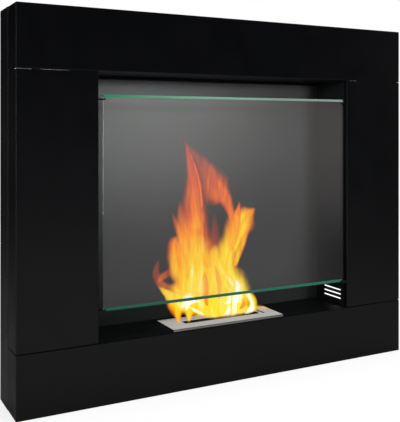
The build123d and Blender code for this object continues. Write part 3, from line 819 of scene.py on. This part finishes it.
def ceramic_felt():
    """Matted ceramic fibre: off-white, quite matt, with short crossing threads."""
    material, tree = new_material("ceramic_fibre_felt")
    place = object_place(tree)
    threads = []
    sizes = (WOOL_FIBRE_LENGTH, WOOL_FIBRE, WOOL_FIBRE)
    for turn in WOOL_FIBRE_TURNS:
        crossed = stretched(tree, place, sizes, turn=(0.0, WOOL_FIBRE_TILT, turn))
        threads.append(cloudy(tree, crossed, size=1.0, detail=2.0))
    mat = maths(tree, "MAXIMUM", threads[0], threads[1])
    surface(
        tree,
        {
            "Base Color": mix_colours(tree, mat, WOOL_SHADE, WOOL_WHITE),
            "Roughness": WOOL_ROUGHNESS,
            "Normal": bump(tree, mat, WOOL_FIBRE_STRENGTH, WOOL_FIBRE_DEPTH),
            "Sheen Weight": WOOL_SHEEN,
        },
    )
    return material


wool = show("wool_pad", wool_mesh())
wool.data.materials.append(ceramic_felt())
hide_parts("ceramic_wool")
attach(wool, "burner")


# ------------------------------------------------------------------ flame
# The flame of the burning ethanol. It stands in the slot as a row of thin leaning sheets:
# white-hot at the slot, yellow in the body, orange and clear at the tips. On the real
# burner it goes down as the damper closes the slot; these sheets keep their size.

FLAME_STEPS = 40
FLAME_ACROSS = 10
FLAME_FLATNESS = 0.16
FLAME_SOFTNESS = 1.4  # a sheet is wider than what shows of it, because its edges fade
CROSSING_SHARE = 0.7
PATH_STEP = 0.01
WARMTH_CURVE = 1.6
LEAN_SPREAD = 3.1  # keeps the lean of one tongue unlike that of the next
LEAN_SEED = 5.0
# The next seven are in millimetres, like the tongues below.
TONGUE_TIP = 0.5  # the least half width
FLAME_LEAN = 12  # in depth, at the tip
LEAN_WAVE = 90
FLAME_BEGINS = 138.8
GLOW_BEGINS = FLAME_BEGINS - 1.0
FLAME_SHOWS = 154  # the gas is clear where it leaves the slot, and glows fully from this height
FLAME_GLOW = 1.2
SILK_SIZE = (15 * MM, 24 * MM, 95 * MM)
SILK_TWIST = 0.9
SILK_RANGE = (0.28, 0.52)
SILK_COVER = (0.72, 1.0)
WISP_SIZE = (26 * MM, 30 * MM, 60 * MM)
WISP_SHIFT = (3.0, 0.0, 0.0)
WISP_BITE = 0.30  # how far the wisps bite into a sheet's edge
EDGE_FADE = (0.62, 0.26)
RIM_FADE = (0.5, 0.44)
TIP_FADE = (1.0, 0.80)
EDGE_COOLING = 0.30
FLICKER = 0.7
FLAME_COLOURS = [
    (0.00, "#b23a20"),
    (0.20, "#e4572a"),
    (0.38, "#fb7d24"),
    (0.52, "#ffa416"),
    (0.68, "#ffcc1c"),
    (0.86, "#ffda44"),
    (1.00, "#fffbe6"),
]

# Each tongue: glow at foot and tip, cover at foot and tip, place in depth, width of the
# sheet that crosses it, points. A point is (x, height, half width), in millimetres.
TONGUES = [
    # the tall body
    (0.84, 0.58, 1.00, 0.10, 2, 20, [
        (-24, 139, 14), (-38, 158, 20), (-58, 178, 32), (-66, 204, 46), (-71, 246, 50),
        (-72, 285, 44), (-74, 314, 38), (-76, 338, 31), (-77, 360, 22), (-78, 382, 12),
        (-78, 404, 1),
    ]),
    # its red tip
    (0.42, -0.06, 0.95, 0.12, 5, 20, [
        (-72, 262, 38), (-75, 300, 42), (-76, 340, 39), (-78, 381, 32), (-80, 421, 26),
        (-82, 461, 20), (-88, 500, 13), (-95, 532, 7), (-100, 558, 4), (-104, 588, 1),
    ]),
    # the low body in the middle
    (0.84, 0.62, 1.00, 0.70, 6, 0, [
        (-8, 140, 20), (-14, 160, 29), (-22, 186, 38), (-28, 215, 42), (-30, 244, 36),
        (-29, 266, 28), (-27, 286, 19), (-24, 304, 10), (-22, 320, 1),
    ]),
    # the body that leans right and ends in a wide torn tip
    (0.86, 0.50, 1.00, 0.70, 0, 18, [
        (17, 139, 41), (22, 155, 46), (21, 180, 49), (12, 210, 45), (2, 239, 39), (0, 261, 31),
        (4, 283, 28), (12, 304, 26), (22, 325, 27), (32, 345, 30), (42, 364, 31), (54, 379, 24),
        (70, 389, 14), (87, 397, 2),
    ]),
    (0.58, 0.42, 0.80, 0.55, -3, 0, [
        (30, 296, 1), (36, 318, 10), (44, 340, 19), (54, 360, 25), (63, 377, 22), (74, 389, 12),
        (86, 398, 2),
    ]),
    (0.52, 0.26, 0.80, 0.45, -5, 0, [
        (12, 286, 1), (17, 316, 12), (22, 345, 18), (25, 364, 16), (29, 380, 12), (34, 394, 8),
        (38, 406, 4), (41, 420, 1),
    ]),
    # the thin veil from there to the red tip, and the haze under it
    (0.34, 0.04, 0.75, 0.12, 8, 0, [
        (24, 372, 4), (19, 392, 9), (12, 410, 14), (5, 425, 21), (-13, 440, 36), (-24, 455, 36),
        (-36, 471, 33), (-48, 492, 26), (-59, 512, 18), (-69, 525, 14), (-79, 537, 10),
        (-92, 552, 5), (-102, 575, 1),
    ]),
    (0.44, 0.15, 0.70, 0.10, 4, 0, [
        (24, 366, 5), (22, 388, 8), (18, 408, 9), (15, 424, 9), (5, 440, 9), (-8, 456, 7),
        (-22, 472, 4), (-36, 488, 1),
    ]),
    (0.14, 0.05, 0.24, 0.02, 9, 0, [
        (-26, 296, 20), (-23, 325, 16), (-21, 350, 12), (-21, 372, 8), (-22, 400, 2),
    ]),
    # the shoulders on the left
    (0.58, 0.06, 0.80, 0.12, 2, 0, [
        (-104, 270, 16), (-106, 305, 20), (-107, 330, 20), (-109, 354, 17), (-111, 374, 14),
        (-114, 394, 10), (-117, 412, 6), (-121, 432, 1),
    ]),
    (0.50, 0.06, 0.72, 0.10, -2, 0, [
        (-106, 300, 14), (-112, 330, 15), (-117, 350, 13), (-124, 365, 10), (-131, 380, 6),
        (-139, 402, 1),
    ]),
    (0.70, 0.30, 0.85, 0.65, -4, 12, [
        (-102, 205, 12), (-109, 224, 17), (-115, 245, 19), (-123, 265, 21), (-129, 284, 21),
        (-133, 302, 20), (-135, 320, 17), (-134, 334, 13), (-126, 344, 4),
    ]),
    # the curls on the far left
    (0.30, 0.04, 0.30, 0.16, 12, 0, [
        (-130, 222, 5), (-152, 227, 9), (-166, 239, 10), (-173, 256, 10), (-172, 274, 7),
        (-165, 294, 1),
    ]),
    (0.28, 0.06, 0.30, 0.18, 14, 0, [
        (-166, 238, 4), (-155, 249, 9), (-141, 257, 9), (-130, 267, 7), (-117, 284, 1),
    ]),
    (1.00, 0.62, 0.90, 0.80, -6, 0, [
        (-84, 186, 24), (-104, 189, 25), (-124, 194, 22), (-142, 204, 15), (-158, 217, 8),
        (-178, 233, 1),
    ]),
    # the feet on the left
    (0.60, 0.84, 0.85, 0.90, -3, 10, [
        (-122, 139, 4), (-124, 152, 7), (-126, 168, 14), (-126, 184, 24), (-124, 200, 28),
        (-118, 214, 27), (-111, 230, 19), (-107, 250, 8), (-106, 266, 1),
    ]),
    (0.72, 0.88, 0.80, 0.85, -5, 8, [
        (-97, 139, 3), (-96, 150, 6), (-96, 165, 12), (-93, 184, 22), (-90, 205, 25),
        (-90, 232, 20), (-89, 262, 8), (-88, 285, 1),
    ]),
    (1.02, 0.90, 0.85, 0.70, -8, 0, [
        (-98, 176, 3), (-84, 168, 4), (-68, 159, 5), (-48, 150, 3),
    ]),
    (1.02, 0.80, 0.85, 0.60, -8, 0, [
        (-82, 200, 3), (-85, 218, 5), (-90, 236, 5), (-97, 264, 1),
    ]),
    # the white heat over the slot
    (0.98, 0.82, 0.92, 0.80, -9, 0, [
        (2, 174, 14), (16, 187, 28), (25, 200, 35), (22, 214, 31), (11, 230, 21), (1, 248, 12),
        (-8, 272, 2),
    ]),
    (1.00, 0.84, 0.85, 0.75, -9, 0, [
        (58, 143, 8), (73, 156, 10), (73, 174, 10), (58, 191, 9), (40, 204, 4),
    ]),
    (0.96, 0.80, 0.85, 0.70, -10, 0, [
        (0, 150, 8), (12, 164, 10), (14, 180, 9), (6, 196, 6),
    ]),
    (1.00, 0.80, 0.85, 0.60, -10, 0, [
        (24, 208, 7), (9, 228, 9), (-7, 248, 7), (-20, 276, 1),
    ]),
    # the warm core of the tall body
    (0.80, 0.66, 0.85, 0.45, -6, 0, [
        (-60, 190, 17), (-68, 225, 24), (-72, 250, 24), (-75, 274, 20), (-76, 298, 14),
        (-76, 322, 8), (-76, 346, 1),
    ]),
    # cooler streaks that show between the bright ones
    (0.40, 0.34, 0.70, 0.55, -13, 0, [
        (-54, 176, 3), (-57, 194, 7), (-58, 214, 9), (-59, 236, 7), (-62, 266, 1),
    ]),
    (0.36, 0.40, 0.75, 0.60, -14, 0, [
        (38, 158, 3), (45, 165, 5), (46, 175, 5), (41, 185, 2),
    ]),
    (0.50, 0.40, 0.60, 0.45, -13, 0, [
        (-22, 190, 3), (-20, 215, 6), (-24, 240, 6), (-32, 270, 1),
    ]),
    # bright threads in the tips
    (0.34, 0.16, 0.80, 0.35, -2, 0, [
        (-62, 408, 2), (-64, 430, 3), (-67, 455, 3), (-73, 480, 3), (-80, 503, 3), (-90, 530, 2),
        (-99, 562, 1),
    ]),
    (0.60, 0.30, 0.70, 0.55, -6, 0, [
        (24, 262, 7), (38, 296, 9), (50, 320, 9), (58, 340, 6), (66, 368, 1),
    ]),
    # the tail that licks over the plate
    (0.90, 0.74, 0.60, 0.18, -2, 0, [
        (20, 150, 5), (48, 151, 8), (72, 151, 9), (96, 149, 8), (116, 146, 5), (134, 143, 1),
    ]),
]


def smooth_path(points, share):
    """The place at a share of the way along a smooth line through the points."""
    spans = len(points) - 1
    place = min(share * spans, spans - 1e-6)
    i = int(place)
    t = place - i
    before = points[max(i - 1, 0)]
    start = points[i]
    end = points[i + 1]
    after = points[min(i + 2, spans)]
    result = []
    for p0, p1, p2, p3 in zip(before, start, end, after):
        a = 2 * p1
        b = p2 - p0
        c = 2 * p0 - 5 * p1 + 4 * p2 - p3
        d = 3 * p1 - p0 - 3 * p2 + p3
        result.append((a + b * t + c * t * t + d * t * t * t) / 2)
    return result


def add_sheet(mesh, layers, tongue, number, crossing):
    """One closed lens-shaped sheet along a tongue's path, or the narrow one across it."""
    warm_foot, warm_tip, cover_foot, cover_tip, depth, cross_width, points = tongue
    uv, warmth, cover = layers
    rings = []
    for step in range(FLAME_STEPS + 1):
        share = step / FLAME_STEPS
        x, z, half = smooth_path(points, share)
        ahead = smooth_path(points, min(share + PATH_STEP, 1.0))
        behind = smooth_path(points, max(share - PATH_STEP, 0.0))
        along = Vector((ahead[0] - behind[0], 0.0, ahead[1] - behind[1])).normalized()
        spans_done = share * (len(points) - 1)
        if spans_done < 1.0:
            along = along.lerp(Vector((0.0, 0.0, 1.0)), 1.0 - spans_done).normalized()
        wide = Vector((along.z, 0.0, -along.x))
        deep = Vector((0.0, 1.0, 0.0))
        half = max(half, TONGUE_TIP) * FLAME_SOFTNESS
        if crossing:
            wide, deep = deep, wide
            half = min(half * CROSSING_SHARE, cross_width)
        drift = Vector((number * LEAN_SPREAD, z / LEAN_WAVE, LEAN_SEED))
        lean = FLAME_LEAN * share * noise.noise(drift)
        centre = Vector((x, SLOT_Y + depth + lean, z))
        ring = []
        for k in range(2 * FLAME_ACROSS):
            around = math.pi * k / FLAME_ACROSS
            side = math.cos(around)
            bulge = math.sin(around) * FLAME_FLATNESS
            place = centre + wide * half * side + deep * half * bulge
            place.z = max(place.z, FLAME_BEGINS)
            vert = mesh.verts.new(place * MM)
            vert[warmth] = warm_foot + (warm_tip - warm_foot) * share**WARMTH_CURVE
            vert[cover] = cover_foot + (cover_tip - cover_foot) * share
            ring.append((vert, (side + 1) / 2, share))
        rings.append(ring)
    count = 2 * FLAME_ACROSS
    for a, b in zip(rings, rings[1:]):
        for k in range(count):
            corners = [a[k], a[(k + 1) % count], b[(k + 1) % count], b[k]]
            face = mesh.faces.new([c[0] for c in corners])
            face.smooth = True
            for loop, corner in zip(face.loops, corners):
                loop[uv].uv = (corner[1], corner[2])
    for ring in (list(reversed(rings[0])), rings[-1]):
        face = mesh.faces.new([c[0] for c in ring])
        for loop, corner in zip(face.loops, ring):
            loop[uv].uv = (corner[1], corner[2])


def flame_mesh():
    """All the tongues as closed sheets with their own coordinates, glow and cover."""
    mesh = bmesh.new()
    layers = (
        mesh.loops.layers.uv.new("along"),
        mesh.verts.layers.float.new("warmth"),
        mesh.verts.layers.float.new("cover"),
    )
    for number, tongue in enumerate(TONGUES):
        add_sheet(mesh, layers, tongue, number, False)
        if tongue[5]:
            add_sheet(mesh, layers, tongue, number, True)
    bmesh.ops.recalc_face_normals(mesh, faces=mesh.faces)
    return mesh_data("flame", mesh)


def burning_ethanol():
    """The glow of the flame: bright and dense at the foot, orange and thin at the tips."""
    material, tree = new_material("burning_ethanol")
    sheet = split(tree, add_node(tree, "ShaderNodeUVMap", uv_map="along").outputs[0])
    warmth = add_node(tree, "ShaderNodeAttribute", attribute_name="warmth").outputs["Fac"]
    cover = add_node(tree, "ShaderNodeAttribute", attribute_name="cover").outputs["Fac"]
    place = object_place(tree)
    silk = stretched(tree, place, SILK_SIZE)
    silk = cloudy(tree, silk, size=1.0, detail=3.0, distortion=SILK_TWIST)
    wisp = stretched(tree, place, WISP_SIZE, shift=WISP_SHIFT)
    wisp = cloudy(tree, wisp, size=1.0, detail=4.0)
    centred = maths(tree, "SUBTRACT", sheet[0], 0.5)
    off = maths(tree, "MULTIPLY_ADD", wisp, WISP_BITE, maths(tree, "ABSOLUTE", centred))
    edge = map_range(tree, off, EDGE_FADE, smooth=True)
    rim = map_range(tree, centred, RIM_FADE, smooth=True)
    other_rim = map_range(tree, centred, (-RIM_FADE[0], -RIM_FADE[1]), smooth=True)
    tip = map_range(tree, sheet[1], TIP_FADE, smooth=True)
    density = map_range(tree, silk, SILK_RANGE, SILK_COVER)
    glowing = (GLOW_BEGINS * MM, FLAME_SHOWS * MM)
    lit = map_range(tree, split(tree, place)[2], glowing, smooth=True)
    opacity = edge
    for share in (tip, rim, other_rim, cover, density, lit):
        opacity = maths(tree, "MULTIPLY", opacity, share)
    cooler = maths(tree, "SUBTRACT", edge, 1.0)
    hot = maths(tree, "MULTIPLY_ADD", cooler, EDGE_COOLING, warmth)
    hot = maths(tree, "MULTIPLY_ADD", maths(tree, "SUBTRACT", silk, 0.5), FLICKER, hot)
    ramp = add_node(tree, "ShaderNodeValToRGB", {0: hot})
    stops = ramp.color_ramp.elements
    while len(stops) < len(FLAME_COLOURS):
        stops.new(1.0)
    for stop, (position, colour) in zip(stops, FLAME_COLOURS):
        stop.position = position
        stop.color = linear(colour)
    surface(
        tree,
        {
            "Base Color": linear("#000000"),
            "Roughness": 1.0,
            "Specular IOR Level": 0.0,
            "Alpha": opacity,
            "Emission Color": ramp.outputs[0],
            "Emission Strength": FLAME_GLOW,
        },
    )
    material.cycles.emission_sampling = "NONE"
    return material


flame = show("flame", flame_mesh())
flame.data.materials.append(burning_ethanol())
flame.visible_diffuse = False
flame.visible_shadow = False
flame.visible_glossy = False
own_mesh(flame)
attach(flame, "burner")


# ------------------------------------------------------------------ studio
# A pale floor, soft lamps and a camera where the reference view was taken from. The
# backdrop is white to the eye, a dim light to matt faces, and almost black in metal and
# glass, so that the black faces stay black.

FLOOR_SIZE = 16.0
FLOOR_PAINTED_LIT = "#cdcdcd"
FLOOR_PAINTED_SHADE = "#101010"
FLOOR_SHADE = 0.35  # the part of the floor's white that the lamps give, so that shadows show
FLOOR_GLOW = (0.72, 0.90)
FLOOR_GLOW_RANGE = (3.0, 30.0)  # the distance from the pool's centre, squared
PAINTED_POOL_CENTRE = (-0.1, -1.15, 0.0)
PAINTED_POOL_RADIUS = 1.1
HORIZON = (-0.03, 0.10)
BACKDROP_SEEN = 1.0
BACKDROP_ON_MATT = 0.35
BACKDROP_IN_GLOSS = (0.05, 0.005)  # below and above the horizon
CAMERA_PLACE = (-0.85425, -1.53025, 0.5963)
CAMERA_YAW = -27.64
CAMERA_LENS = 64.8
CAMERA_DROP = -0.21  # the lens is shifted instead of tilted, so that uprights stay upright
CLEAR_LAYERS = 40  # how many sheets of flame and glass a ray may pass through


def studio_floor():
    """A matt floor, white to the camera with the shadow kept; to other rays it has a painted pool
    of light, dark away from its centre.
    """
    material, tree = new_material("studio_floor")
    centre = {0: object_place(tree), 1: PAINTED_POOL_CENTRE}
    away = add_node(tree, "ShaderNodeVectorMath", centre, operation="SUBTRACT").outputs[0]
    product = add_node(tree, "ShaderNodeVectorMath", {0: away, 1: away}, operation="DOT_PRODUCT")
    square = product.outputs["Value"]
    spread = maths(tree, "MULTIPLY_ADD", square, 1 / PAINTED_POOL_RADIUS**2, 1.0)
    # Painted pool of light: to rays other than the camera's, the floor is light near the pool's
    # centre and dark away from it.
    tone = mix_colours(tree, maths(tree, "DIVIDE", 1.0, spread), FLOOR_PAINTED_SHADE, FLOOR_PAINTED_LIT)
    lit = add_node(tree, "ShaderNodeBsdfDiffuse", {"Color": tone}).outputs[0]
    grey = add_node(tree, "ShaderNodeBsdfDiffuse", {"Color": [FLOOR_SHADE] * 3 + [1.0]}).outputs[0]
    level = map_range(tree, square, FLOOR_GLOW_RANGE, FLOOR_GLOW)
    glow = {"Color": linear(WHITE), "Strength": level}
    white = add_node(tree, "ShaderNodeEmission", glow).outputs[0]
    seen = add_node(tree, "ShaderNodeAddShader", {0: grey, 1: white}).outputs[0]
    by_camera = add_node(tree, "ShaderNodeLightPath").outputs["Is Camera Ray"]
    finish_with(tree, mix_shaders(tree, by_camera, lit, seen))
    return material


floor_mesh = bmesh.new()
bmesh.ops.create_grid(floor_mesh, x_segments=1, y_segments=1, size=FLOOR_SIZE / 2)
floor = show("floor", mesh_data("floor", floor_mesh))
floor.data.materials.append(studio_floor())


def studio_world():
    """White to the eye, a dim even light on matt faces, and almost black to gloss and glass."""
    world = bpy.data.worlds.new("studio")
    bpy.context.scene.world = world
    world.use_nodes = True
    tree = world.node_tree
    tree.nodes.clear()
    rays = add_node(tree, "ShaderNodeLightPath").outputs
    way = split(tree, add_node(tree, "ShaderNodeTexCoord").outputs["Generated"])
    level = map_range(tree, way[2], HORIZON, BACKDROP_IN_GLOSS, smooth=True)
    for ray, strength in (("Is Diffuse Ray", BACKDROP_ON_MATT), ("Is Camera Ray", BACKDROP_SEEN)):
        level = add_node(tree, "ShaderNodeMix", {0: rays[ray], 2: level, 3: strength}).outputs[0]
    sky = add_node(tree, "ShaderNodeBackground", {"Color": linear(WHITE), "Strength": level})
    add_node(tree, "ShaderNodeOutputWorld", {"Surface": sky.outputs[0]})


studio_world()


def hang(name, lamp, place, target):
    """A lamp in its place, turned towards a point."""
    piece = show(name, lamp)
    piece.location = place
    piece.rotation_euler = (Vector(target) - piece.location).to_track_quat("-Z", "Y").to_euler()
    return piece


def softbox(name, place, target, size, watts):
    """A rectangular soft lamp that the camera doesn't see."""
    lamp = bpy.data.lights.new(name, "AREA")
    lamp.shape = "RECTANGLE"
    lamp.size, lamp.size_y = size
    lamp.energy = watts
    piece = hang(name, lamp, place, target)
    piece.visible_camera = False
    return piece


def spot(name, place, target, degrees, radius, watts, lit):
    """A soft-edged spot lamp that lights only some pieces and isn't mirrored in any."""
    lamp = bpy.data.lights.new(name, "SPOT")
    lamp.spot_size = math.radians(degrees)
    lamp.spot_blend = 1.0
    lamp.shadow_soft_size = radius
    lamp.energy = watts
    piece = hang(name, lamp, place, target)
    piece.visible_glossy = False
    piece.light_linking.receiver_collection = lit


def lit_by(name, pieces):
    """The pieces that a lamp lights, as a collection."""
    group = bpy.data.collections.new("lit_by_the_" + name)
    for piece in pieces:
        group.objects.link(piece)
    return group


overhead = softbox("overhead", (0.0, -0.7, 2.6), (0.0, -0.5, 0.0), size=(2.4, 1.6), watts=45)
overhead.visible_glossy = False
softbox("left_side", (-2.6, -0.9, 0.6), (-0.4, 0.0, 0.4), size=(0.5, 1.0), watts=11)
softbox("right_side", (2.6, -0.6, 1.2), (0.4, 0.0, 0.4), size=(1.2, 1.4), watts=3)
softbox("rear_fill", (0.9, 2.6, 1.5), (0.2, 0.0, 0.4), size=(2.0, 1.4), watts=40)
back = ("firebox_back", "firebox_left_wall", "firebox_floor")
spot_lit = lit_by("spots", [nodes[name] for name in back] + [pane])
spot(
    "back_panel_spot",
    (0.5, -1.7, 0.95),
    (-0.25, 0.05, 0.68),
    degrees=15.5,
    radius=0.27,
    watts=1050,
    lit=spot_lit,
)
spot(
    "back_panel_fill",
    (0.72, -1.62, 0.78),
    (0.24, 0.05, 0.56),
    degrees=28,
    radius=0.32,
    watts=235,
    lit=spot_lit,
)
spot(
    "right_wall_wash",
    (-0.9, -1.0, 0.95),
    (0.334, -0.01, 0.66),
    degrees=18,
    radius=0.10,
    watts=45,
    lit=lit_by("wall_wash", [nodes["firebox_right_wall"]]),
)
card = softbox(
    "card_behind_the_burner",
    (0.05, 0.050, 0.190),
    (0.05, -0.5, 0.12),
    size=(0.46, 0.10),
    watts=0.15,
)
steel = ("burner_top_plate", "burner_box", "damper_plate", "damper_hook_tab", "wool_grid")
card.light_linking.receiver_collection = lit_by("card", [nodes[name] for name in steel])

lens = bpy.data.cameras.new("camera")
lens.sensor_fit = "HORIZONTAL"
lens.sensor_width = 36.0
lens.lens = CAMERA_LENS
lens.shift_y = CAMERA_DROP
camera = show("camera", lens)
camera.location = CAMERA_PLACE
camera.rotation_euler = (math.radians(90), 0.0, math.radians(CAMERA_YAW))
bpy.context.scene.camera = camera
bpy.context.scene.view_settings.view_transform = "Standard"
bpy.context.scene.cycles.transparent_max_bounces = CLEAR_LAYERS
